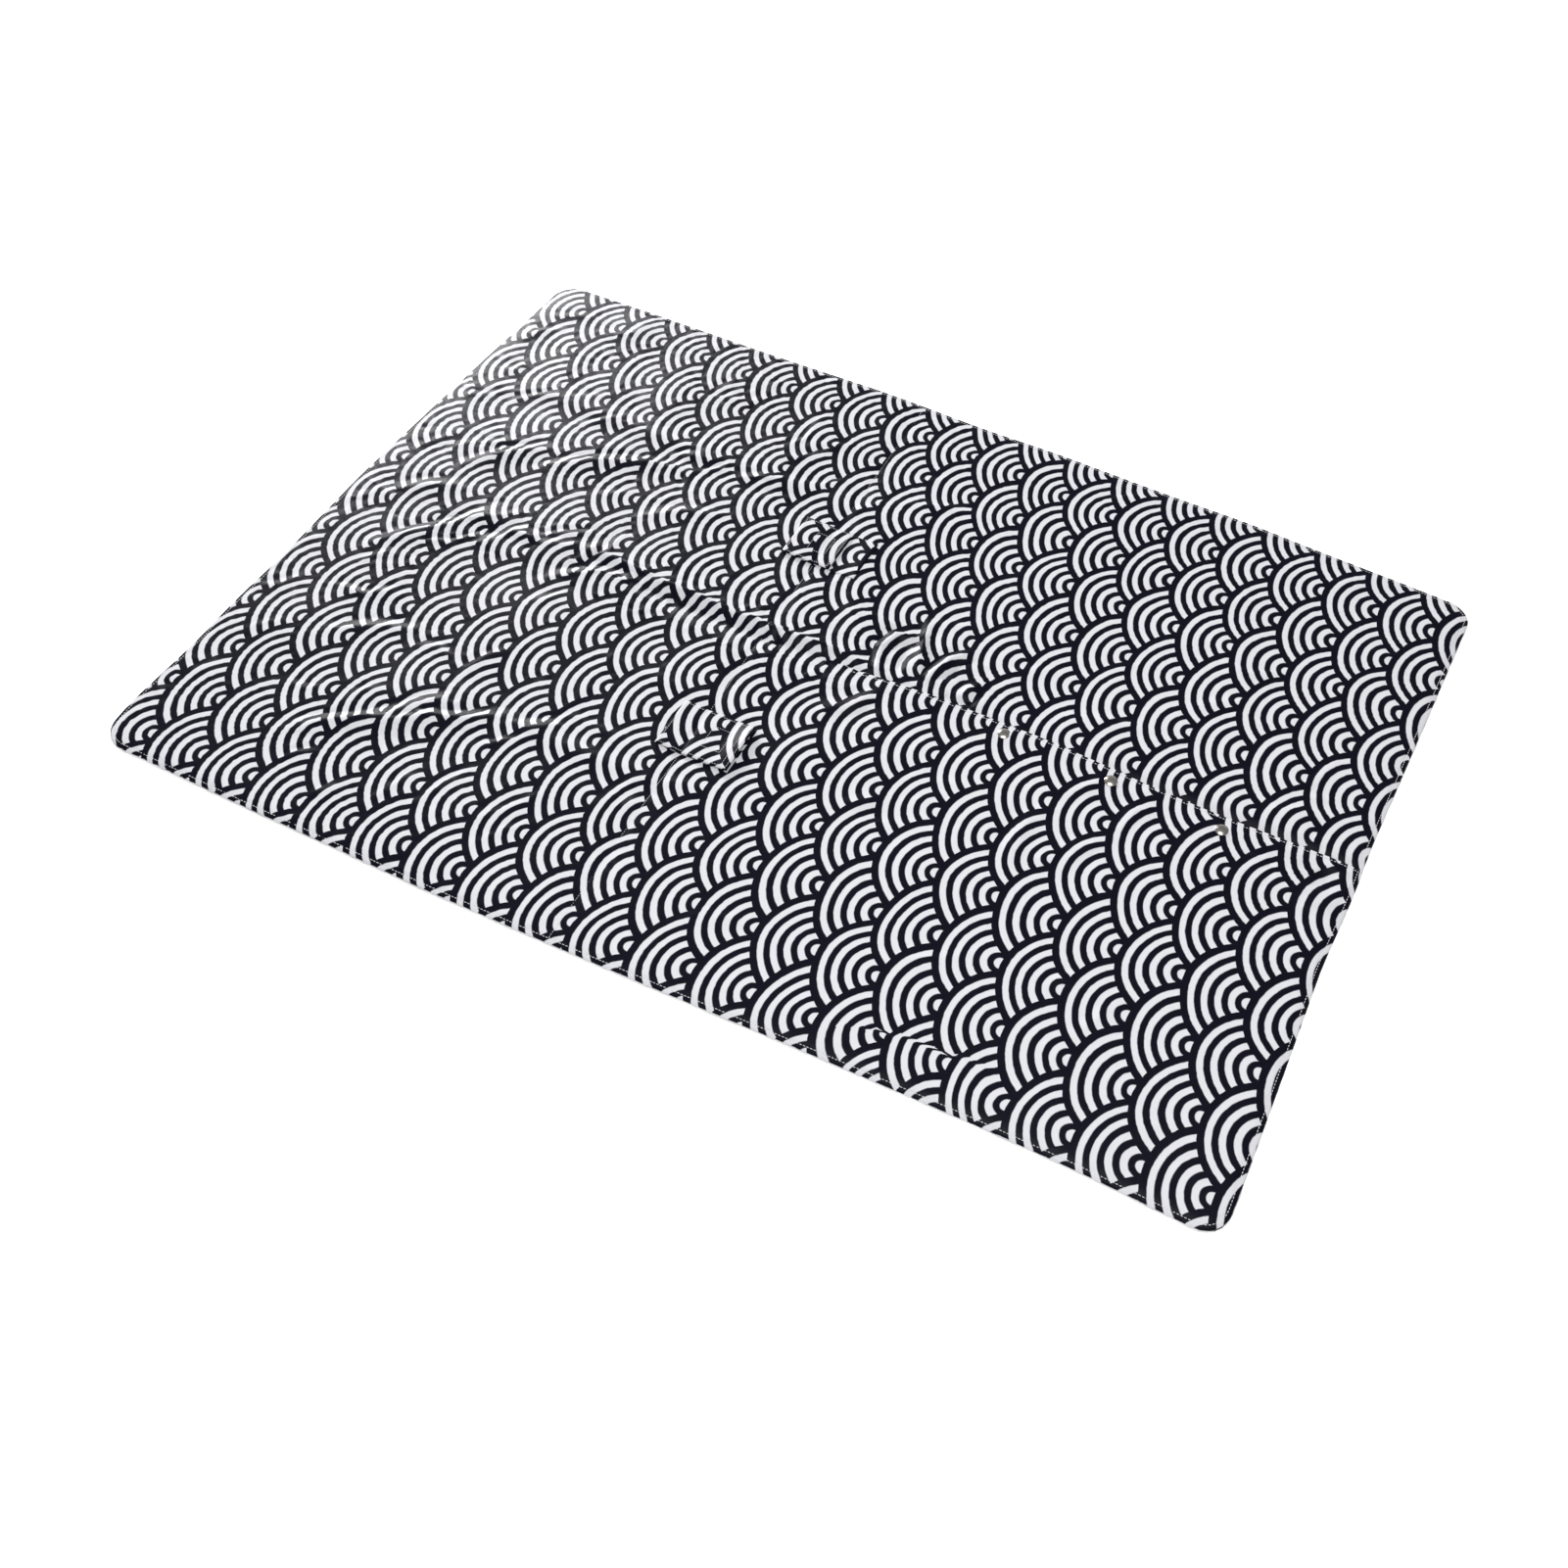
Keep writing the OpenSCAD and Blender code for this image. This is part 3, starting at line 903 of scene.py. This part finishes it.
def make_lining():
    """The lining with the strip's, and the lapel's lining, which clears the strip that it lies over."""
    points, shapes, centres = flat_sheet(LINING_STEP)
    lapel, strip = regions(centres)
    main_p, main_s = picked(points, shapes, ~lapel)
    strip_p, strip_s = picked(points, shapes, strip)
    under = lining_points(strip_p)
    rise = 1 - smooth((strip_p[:, 1] - STRIP_Y) / HEM_RISE)
    under[:, 2] += rise * (far_height(strip_p) - 0.3 - under[:, 2])
    main = joined(
        "fleece_lining",
        [
            (lining_points(main_p), [s[::-1] for s in main_s], main_p / SCALE_R),
            (under, [s[::-1] for s in strip_s], strip_p / SCALE_R),
        ],
        FLEECE,
    )
    points, shapes, centres = flat_sheet(COVER_STEP)
    lapel_p, lapel_s = picked(points, shapes, regions(centres)[0])
    z = lining_points(lapel_shift(lapel_p))
    over_strip = smooth((lapel_p[:, 1] - (STRIP_Y - 12)) / 8)
    hem = smooth((SLIT_Y - lapel_p[:, 1]) / HEM_RISE)
    roof = lapel_height(lapel_p)
    z[:, 2] += over_strip * (np.maximum(roof - FACING_BELOW, FACING_LOWEST) - z[:, 2])
    z[:, 2] += (1 - hem) * (roof + 0.2 - z[:, 2])
    flap = new_mesh("lapel_lining", z, [s[::-1] for s in lapel_s], lapel_p / SCALE_R, FLEECE)
    return main, flap


WADDING_IN = 13.0
WADDING_BELOW = 1.8
WADDING_STEP = 10.0
WADDING_LOWEST, WADDING_BOTTOM = 2.8, 1.6
WADDING_GAP = 8.0                   # on each side of the lapel's fold line


def lowest_near(p):
    """The cover's lowest height within a step of each point, so that the wadding stays under it."""
    turns = [(0, 0)] + [(math.cos(a), math.sin(a)) for a in np.linspace(0, 2 * math.pi, 8, endpoint=False)]
    return np.min([cover_height(p + WADDING_STEP * np.array(t)) for t in turns], axis=0)


def make_wadding():
    points, shapes, centres = flat_sheet(WADDING_STEP)
    d, _ = edge_distance(centres)
    lapel = on_lapel(centres)
    out = (centres - SLIT_END) @ FOLD_OUT
    by_slit = (centres[:, 0] > APEX_X) & (centres[:, 1] < 40) & (out > -WADDING_GAP)
    main_in = (d > WADDING_IN) & ~lapel & ~by_slit
    lapel_in = (d > WADDING_IN) & lapel & (centres[:, 1] < STRIP_Y - 16) & (out > WADDING_GAP)
    made = []
    for name, chosen in (("wadding", main_in), ("lapel_wadding", lapel_in)):
        p, s = picked(points, shapes, chosen)
        roof = np.maximum(lowest_near(p) - WADDING_BELOW, WADDING_LOWEST)
        solid, faces = slab(p, s, roof, np.full(len(p), WADDING_BOTTOM))
        made.append(new_mesh(name, solid, faces, None, WADDING))
    return made


# Lines along which there is cloth to spare: their points, half width and share
SPARE_LINES = [
    ([(80, 14), (-120, 12), (-340, 16)], 45, 0.9),
    ([(30, 60), (120, 60), (190, 50)], 50, 1.0),
    ([(-620, 120), (-420, 160), (-300, 250)], 70, 0.5),
    ([(-480, -380), (-340, -270)], 60, 0.5),
    ([(-560, -100), (-500, 30), (-350, 80)], 60, 0.6),
    ([(560, -20), (690, -30)], 40, 0.5),
]
SPARE_MOST = 0.05
GIVE = 0.5
SETTLE_FRAMES = 14
SETTLE_MOST = 4.0                   # no point moves further
CLOTH_SETTINGS = {
    "quality": 6, "mass": 0.02, "air_damping": 0.2, "pin_stiffness": 1.0,
    "tension_stiffness": 300, "compression_stiffness": 300, "shear_stiffness": 8, "bending_stiffness": 0.1,
    "tension_damping": 0.05, "compression_damping": 0.05, "shear_damping": 0.05, "bending_damping": 0.01,
    "vertex_group_mass": "hold", "vertex_group_shrink": "taken_up",
    "shrink_min": -SPARE_MOST, "shrink_max": 0.0,
}


def spare_cloth(p):
    """Share of the most spare cloth, from 0 to 1: more over the left half and along the puckers."""
    share = 0.10 + 0.16 * smooth((150 - p[:, 0]) / 500) + 0.08 * smooth((p[:, 1] + 100) / 300)
    for line, wide, much in SPARE_LINES:
        share = np.maximum(share, much * bump(along_line(p, line)[0], wide))
    return np.clip(share, 0, 1)


def weigh(obj, name, weights):
    group = obj.vertex_groups.new(name=name)
    for i, w in enumerate(weights):
        group.add([i], float(w), "REPLACE")


def settle(obj, held):
    """Spare cloth buckles a little, as the wadding and the stitches under it let it."""
    start = points_of(obj)
    weigh(obj, "hold", np.where(held, 1.0, GIVE))
    weigh(obj, "taken_up", 1 - spare_cloth(start[:, :2]))
    cloth = obj.modifiers.new("cloth", "CLOTH")
    for key, value in CLOTH_SETTINGS.items():
        setattr(cloth.settings, key, value)
    cloth.settings.effector_weights.gravity = 0
    cloth.collision_settings.use_collision = False
    scene = bpy.context.scene
    for frame_number in range(1, SETTLE_FRAMES + 1):
        scene.frame_set(frame_number)
    settled = points_of(obj.evaluated_get(bpy.context.evaluated_depsgraph_get()))
    obj.modifiers.remove(cloth)
    obj.vertex_groups.clear()
    scene.frame_set(1)
    moved = settled - start
    far = np.maximum(np.linalg.norm(moved, axis=1), 1e-6)
    moved *= (np.tanh(far / SETTLE_MOST) * SETTLE_MOST / far)[:, None]
    obj.data.vertices.foreach_set("co", ((start + moved) * MM).ravel())
    obj.data.update()


def points_of(obj):
    flat = np.zeros(3 * len(obj.data.vertices))
    obj.data.vertices.foreach_get("co", flat)
    return flat.reshape(-1, 3) / MM


def stitched(p, extra):
    """Where stitches or a border hold the cloth still."""
    d, _ = edge_distance(p)
    by_seam = np.abs(p[:, 0] - seam_x(p[:, 1])) < 4
    past_end = p[:, 0] > SLIT_END_X
    by_slit = past_end & (np.abs(p[:, 1] - SLIT_Y) < 9)
    by_fold = past_end & (np.abs((p - SLIT_END) @ FOLD_OUT) < 9) & (p[:, 1] < SLIT_Y + 4)
    return (d < 8) | by_seam | by_slit | by_fold | extra


cover, lapel_cover = make_cover()
under = points_of(cover)
settle(cover, stitched(under[:, :2], (under[:, 0] > APEX_X) & (under[:, 2] < 6.5)))
flat = points_of(lapel_cover)[:, :2]
settle(lapel_cover, stitched(flat, flat[:, 1] > SLIT_Y - 12))
lining, lapel_lining = make_lining()
wadding, lapel_wadding = make_wadding()

PANELS = ("back", "front_far", "front_near")
for piece in (cover, lining, wadding):
    follow_half_fold(piece)
for piece in (lapel_cover, lapel_lining):
    follow_lapel_fold(piece)
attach(lapel_wadding, "lapel")
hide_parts(*[kind + p for p in PANELS for kind in ("cover_", "hem_")], "under_placket_cover")
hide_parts(*["lining_" + p for p in PANELS], "under_placket_lining")
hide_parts(*["batting_" + p for p in PANELS])
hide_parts("cover_lapel")
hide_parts("lining_lapel", "placket_facing")
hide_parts("batting_lapel")


# ---- sewing

# A stitch: the points round it, its share of full thickness along its length, and how far it sinks in
RING = 6
SINK = 0.12
GRAIN = [(0.0, 0.25), (0.18, 0.85), (0.5, 1.0), (0.82, 0.85), (1.0, 0.25)]


def stitches(name, runs, body, long=3.0, gap=1.1, thick=0.42):
    """Rows of stitches along lines of points on the cloth. Each stitch is a small grain of thread."""
    starts, ends = [], []
    for run in runs:
        along = np.concatenate([[0], np.cumsum(np.linalg.norm(np.diff(run, axis=0), axis=1))])
        first = np.arange(0, along[-1] - long, long + gap)
        for at, into in ((first, starts), (first + long, ends)):
            into.append(np.stack([np.interp(at, along, run[:, k]) for k in range(3)], axis=1))
    a, b = np.concatenate(starts), np.concatenate(ends)
    way = (b - a) / np.linalg.norm(b - a, axis=1)[:, None]
    side = np.cross(way, (0.0, 0.0, 1.0))
    side /= np.linalg.norm(side, axis=1)[:, None]
    lift = np.cross(side, way)
    rings = []
    for t, share in GRAIN:
        middle = a + (b - a) * t + lift * (thick * share - SINK)
        for k in range(RING):
            angle = 2 * math.pi * k / RING
            rings.append(middle + thick * share * (side * math.cos(angle) + lift * math.sin(angle)))
    points = np.stack(rings, axis=1).reshape(-1, 3)
    one = [
        [r * RING + k, r * RING + (k + 1) % RING, (r + 1) * RING + (k + 1) % RING, (r + 1) * RING + k]
        for r in range(len(GRAIN) - 1)
        for k in range(RING)
    ]
    last = (len(GRAIN) - 1) * RING
    one += [list(range(RING))[::-1], [last + k for k in range(RING)]]
    size = len(GRAIN) * RING
    shapes = [[i + n * size for i in f] for n in range(len(a)) for f in one]
    obj = new_mesh(name, points, shapes, None, THREAD)
    if body == "half_fold":
        follow_half_fold(obj)
    elif body == "lapel_fold":
        follow_lapel_fold(obj)
    else:
        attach(obj, body)
    return obj


EDGE_IN = 5.0                       # the topstitching's distance from the edge


def runs_of(mask, line):
    """The stretches of a line where mask holds."""
    cuts = np.flatnonzero(np.diff(mask.astype(int))) + 1
    parts = zip(np.split(line, cuts), np.split(mask, cuts))
    return [part for part, keep in parts if keep[0] and len(part) > 3]


def main_height(p):
    return np.where(p[:, 1] >= SLIT_Y, far_height(p), cover_height(p))


edge = outline(EDGE_IN, 2.0)
flap_edge = on_lapel(edge)
strip_end = (edge[:, 1] <= SLIT_Y + 6) & (edge[:, 0] >= 600) & (edge[:, 1] >= STRIP_Y)
edge_main = [lifted(r, main_height(r)) for r in runs_of(~flap_edge & ~strip_end, edge)]
edge_flap = [lifted(lapel_shift(r), lapel_height(r)) for r in runs_of(flap_edge, edge)]
edge_thread = stitches("edge_stitching", edge_main, "half_fold")
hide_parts(*["edge_stitching_" + p for p in PANELS])

placket_x = np.arange(APEX_X + 8, HALF_L - 12, 2.0)
placket_line = np.column_stack([placket_x, np.full(len(placket_x), SLIT_Y - EDGE_IN)])
placket_run = lifted(lapel_shift(placket_line), lapel_height(placket_line))
lapel_thread = stitches("lapel_stitching", edge_flap + [placket_run], "lapel_fold")
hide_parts("edge_stitching_lapel")


# ---- tabs

# x is a tab's fold and y its middle. The patch's distance is from the fold, and the lift is its free end's
TAB_KEYS = ("name", "body", "x", "y", "base", "flap", "patch", "lift", "row", "flap_print", "base_print")
NEAR_TAB = dict(zip(TAB_KEYS, (
    "near_tab", "near_flap", -115.0, -162.0, 97.0, 97.0, 51.0, 7.0, 0.9, (-52.0, -136.0), (-60.0, -190.0),
)))
FAR_TAB = dict(zip(TAB_KEYS, (
    "far_tab", "far_flap", -137.0, 180.5, 105.0, 69.0, 27.0, 1.0, 0.93, (-105.0, 186.5), (-39.0, 185.5),
)))
TAB_W = 71.0
TAB_STEP = 2.2
TAB_HEM = 3.0                       # the topstitching's distance from a tab's edges
RUN_STEP = 1.5
PATCH_L, PATCH_W = 25.0, 32.0
BASE_T, PATCH_T, FLAP_T = 1.0, 0.7, 1.3


def tab_grid(x0, x1, y0, y1):
    """A plain grid, as points and faces."""
    xs, ys = spaced(x0, x1, TAB_STEP), spaced(y0, y1, TAB_STEP)
    gx, gy = np.meshgrid(xs, ys)
    return np.column_stack([gx.ravel(), gy.ravel()]), grid_faces(len(xs), len(ys))


def tab_edges(p, x0, x1, y0, y1):
    """How far each point is from the rectangle's nearest edge."""
    return np.min([p[:, 0] - x0, x1 - p[:, 0], p[:, 1] - y0, y1 - p[:, 1]], axis=0)


def tab_height(tab, p, level, lift):
    """Height of a tab's cloth: level over the cover, its free end lifted, its edges a little rounded."""
    along = (p[:, 0] - tab["x"]) / tab["base"]
    droop = lift * smooth((along - 0.72) / 0.3) * (0.65 + 0.35 * np.sin(p[:, 1] * 0.07))
    return cover_height(p) + level + droop


def tab_piece(tab, part, span, width, level, thick, material, lift=0.0, print_at=(0.0, 0.0)):
    """One layer of a tab, as a closed thin solid. Its span is in x."""
    x0, x1 = span
    y0, y1 = tab["y"] - width / 2, tab["y"] + width / 2
    p, s = tab_grid(x0, x1, y0, y1)
    top = tab_height(tab, p, level + thick, lift)
    edge_in = tab_edges(p, x0, x1, y0, y1)
    solid, faces = slab(p, s, top - 0.35 * thick * bump(edge_in, 1.2), top - thick)
    uv = np.tile((p - np.array(print_at)) / SCALE_R, (2, 1))
    return new_mesh(f"{tab['name']}_{part}", solid, faces, uv, material)


def rectangle(x0, x1, y0, y1):
    corners = np.array([(x0, y0), (x1, y0), (x1, y1), (x0, y1), (x0, y0)], float)
    return evenly(corners, RUN_STEP)


def make_tab(tab):
    """A tab's four layers from its base up, and its stitches."""
    name, x, y, lift = tab["name"], tab["x"], tab["y"], tab["lift"]
    patch_x = x + tab["patch"]
    on_patch = (patch_x, patch_x + PATCH_L)
    on_base, on_flap = (x + 0.6, x + tab["base"]), (x + 0.3, x + tab["flap"])
    flap_print, base_print = tab["flap_print"], tab["base_print"]
    levels = [0.2, 0.2 + BASE_T, 0.3 + BASE_T + PATCH_T, 0.3 + BASE_T + 2 * PATCH_T]
    base = tab_piece(tab, "base_cloth", on_base, TAB_W - 1, levels[0], BASE_T, COTTON, 0.0, base_print)
    loop = tab_piece(tab, "loop_patch", on_patch, PATCH_W, levels[1], PATCH_T, LOOP_TAPE)
    hook = tab_piece(tab, "hook_patch", on_patch, PATCH_W, levels[2], PATCH_T, HOOK_TAPE)
    flap = tab_piece(tab, "flap_cloth", on_flap, TAB_W, levels[3], FLAP_T, COTTON, lift, flap_print)
    low, high = y - TAB_W / 2 + TAB_HEM, y + TAB_W / 2 - TAB_HEM
    at = x + tab["row"] * tab["flap"]
    lines = [
        rectangle(x + TAB_HEM, x + tab["flap"] - TAB_HEM, low, high),
        rectangle(*on_patch, y - PATCH_W / 2, y + PATCH_W / 2),
        evenly(np.array([(at, low), (at, high)]), RUN_STEP),
    ]
    runs = [lifted(r, tab_height(tab, r, levels[3] + FLAP_T, lift)) for r in lines]
    sewn = stitches(name + "_thread", runs, tab["body"], long=2.4, gap=0.9, thick=0.3)
    for piece, node, body, slot in (
        (base, "base", "back", "printed_cotton"),
        (loop, "loop", "back", "loop_tape"),
        (hook, "hook", tab["body"], "hook_tape"),
        (flap, "flap", tab["body"], "printed_cotton"),
    ):
        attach(piece, body)
        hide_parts(f"{name}_{node}")
    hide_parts(name + "_stitching")


make_tab(NEAR_TAB)
make_tab(FAR_TAB)


def seam_run(y0, y1):
    """A stretch of the quilting seam, which runs on under the tabs and shows only between them."""
    y = np.arange(y0, y1, 2.0)
    p = np.column_stack([seam_x(y), y])
    return lifted(p, cover_height(p))


near_end = -HALF_W + NEAR_DRAW * 0.45 + EDGE_IN
far_end = HALF_W - FAR_DROP / 2 - EDGE_IN
half_tab = TAB_W / 2 + 0.5
seam_runs = [
    seam_run(near_end, NEAR_TAB["y"] - half_tab),
    seam_run(NEAR_TAB["y"] + half_tab, FAR_TAB["y"] - half_tab),
    seam_run(FAR_TAB["y"] + half_tab, far_end),
]
seam_thread = stitches("seam_thread", seam_runs, "back", long=2.8, gap=0.6, thick=0.3)
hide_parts("seam_stitching")


# ---- snaps

# Radius and height, from the dome's middle down to the shank
CAP_PROFILE = [
    (0.0, 2.5), (1.6, 2.46), (3.2, 2.3), (4.7, 2.0), (5.9, 1.6), (6.7, 1.25), (7.0, 1.12), (7.25, 1.2),
    (7.7, 1.15), (8.0, 0.8), (8.05, 0.4), (7.8, 0.0), (7.0, -0.2), (1.9, -0.2), (1.9, -4.0), (0.0, -4.0),
]
CAP_SINK = 0.2
LATHE_STEPS = 64


def turned(name, profile, at, material):
    """A shape turned on an upright axis from its profile."""
    ring = [2 * math.pi * k / LATHE_STEPS for k in range(LATHE_STEPS)]
    points, rows = [], []
    for r, z in profile:
        if r == 0:
            rows.append([len(points)])
            points.append((at[0], at[1], at[2] + z))
        else:
            rows.append(list(range(len(points), len(points) + LATHE_STEPS)))
            points += [(at[0] + r * math.cos(a), at[1] + r * math.sin(a), at[2] + z) for a in ring]
    shapes = []
    for upper, lower in zip(rows[:-1], rows[1:]):
        for k in range(LATHE_STEPS):
            corners = (upper, k), (lower, k), (lower, k + 1), (upper, k + 1)
            shapes.append(list(dict.fromkeys(row[i % len(row)] for row, i in corners)))
    return new_mesh(name, points, shapes, None, material)


for i in (1, 2, 3):
    low, high = node_box(f"snap_cap_{i}")
    centre = (low + high)[:2] / 2
    top = lapel_height(centre[None])[0] - CAP_SINK
    cap = turned(f"domed_cap_{i}", CAP_PROFILE, (*centre, top), NICKEL)
    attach(cap, "lapel")
    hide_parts(f"snap_cap_{i}")
    for kind in ("socket", "stud", "post"):
        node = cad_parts[f"snap_{kind}_{i}"]
        node.data.materials.clear()
        node.data.materials.append(NICKEL)


# ---- studio, camera

FLOOR_SIZE = 60.0
FLOOR_Z = -0.0005
bpy.ops.mesh.primitive_plane_add(size=FLOOR_SIZE, location=(0, 0, FLOOR_Z))
floor = bpy.context.object
floor.name = "studio_floor"
floor.data.materials.append(floor_paint())

bpy.context.scene.view_settings.view_transform = "Standard"
world = bpy.data.worlds.new("studio")
bpy.context.scene.world = world
world.use_nodes = True
sky = world.node_tree
facing = sky.nodes.new("ShaderNodeSeparateXYZ")
sky.links.new(sky.nodes.new("ShaderNodeTexCoord").outputs["Generated"], facing.inputs[0])
glow = sky.nodes.new("ShaderNodeMapRange")
for socket, value in (("From Min", 0.10), ("From Max", 0.42), ("To Min", 0.72), ("To Max", 0.22)):
    glow.inputs[socket].default_value = value
sky.links.new(facing.outputs["Z"], glow.inputs["Value"])
sky.links.new(glow.outputs[0], sky.nodes["Background"].inputs["Strength"])
sky.nodes["Background"].inputs["Color"].default_value = (1.0, 1.0, 1.0, 1)


def softbox(name, place, target, size, power):
    light = bpy.data.lights.new(name, "AREA")
    light.shape, light.size, light.size_y = "RECTANGLE", size[0], size[1]
    light.energy = power
    obj = bpy.data.objects.new(name, light)
    obj.location = place
    obj.rotation_euler = (Vector(target) - Vector(place)).to_track_quat("-Z", "Y").to_euler()
    bpy.context.scene.collection.objects.link(obj)


softbox("far_low", (-3.6, 3.1, 1.6), (0, 0, 0), (1.6, 1.0), 238)
softbox("far_box", (-2.35, 2.6, 1.75), (-0.6, 0.4, 0), (0.9, 0.7), 7)
softbox("near_box", (1.4, -2.1, 2.4), (0, 0, 0), (2.0, 1.4), 20)
softbox("overhead", (0.3, -0.6, 3.0), (-0.1, 0.1, 0), (1.6, 1.4), 58)

camera_data = bpy.data.cameras.new("camera")
camera_data.lens = 36.41
camera_data.sensor_width = 36.0
camera_data.shift_x = -0.1296
camera = bpy.data.objects.new("camera", camera_data)
camera.location = (0.6445, -1.1162, 1.4913)
camera.rotation_euler = tuple(math.radians(a) for a in (36.765, -3.305, 24.733))
bpy.context.scene.collection.objects.link(camera)
bpy.context.scene.camera = camera
